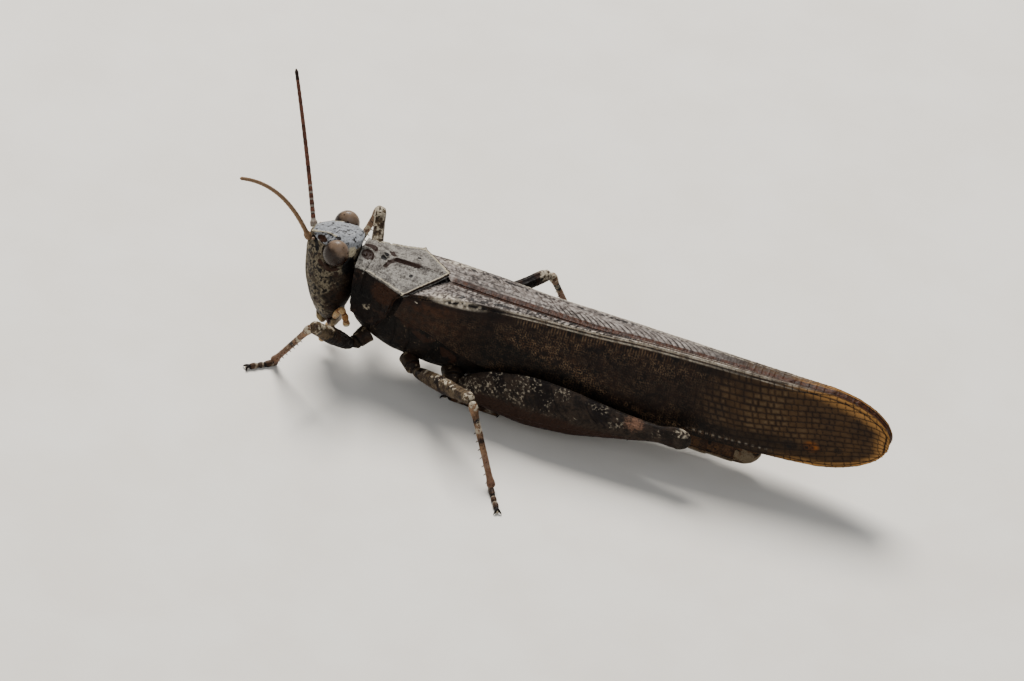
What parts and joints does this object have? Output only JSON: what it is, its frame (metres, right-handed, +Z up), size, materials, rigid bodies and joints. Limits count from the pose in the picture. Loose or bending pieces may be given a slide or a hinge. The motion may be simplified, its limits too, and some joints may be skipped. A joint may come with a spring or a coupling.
{
  "type": "band-winged grasshopper",
  "caption": "Life-size still model of a male band-winged grasshopper resting on the ground, long mottled wings folded, hind legs tucked, feelers raised.",
  "frame": {"origin": "on the ground under the middle of the animal's whole box", "axes": "+X towards the tail along the body, +Y to the animal's right, +Z up from the ground"},
  "size_m": [0.0424, 0.0226, 0.0159],
  "materials": {
    "head_shell": "matte",
    "pronotum_shell": "matte",
    "eye": "gloss",
    "antenna": "satin",
    "palp": "satin",
    "forewing": "satin",
    "hindwing": "satin",
    "abdomen_shell": "satin",
    "under_shell": "matte",
    "hind_femur": "matte",
    "femur": "matte",
    "tibia": "satin",
    "tarsus": "satin"
  },
  "bodies": {
    "root": {"abdomen": "abdomen_shell", "abdomen_tip": "abdomen_shell", "antenna_left": "antenna", "antenna_right": "antenna", "cercus_left": "abdomen_shell", "cercus_right": "abdomen_shell", "coxa_front_left": "under_shell", "coxa_front_right": "under_shell", "coxa_hind_left": "under_shell", "coxa_hind_right": "under_shell", "coxa_mid_left": "under_shell", "coxa_mid_right": "under_shell", "eye_left": "eye", "eye_right": "eye", "femur_front_left": "femur", "femur_front_right": "femur", "femur_hind_left": "hind_femur", "femur_hind_right": "hind_femur", "femur_mid_left": "femur", "femur_mid_right": "femur", "head": "head_shell", "hindwing_left": "hindwing", "hindwing_right": "hindwing", "jaws": "under_shell", "labial_palp_left": "palp", "labial_palp_right": "palp", "labrum": "head_shell", "maxillary_palp_left": "palp", "maxillary_palp_right": "palp", "pronotum": "pronotum_shell", "tarsus_front_left": "tarsus", "tarsus_front_right": "tarsus", "tarsus_hind_left": "tarsus", "tarsus_hind_right": "tarsus", "tarsus_mid_left": "tarsus", "tarsus_mid_right": "tarsus", "tegmen_left": "forewing", "tegmen_right": "forewing", "thorax": "under_shell", "tibia_front_left": "tibia", "tibia_front_right": "tibia", "tibia_hind_left": "tibia", "tibia_hind_right": "tibia", "tibia_mid_left": "tibia", "tibia_mid_right": "tibia"}
  },
  "joints": []
}
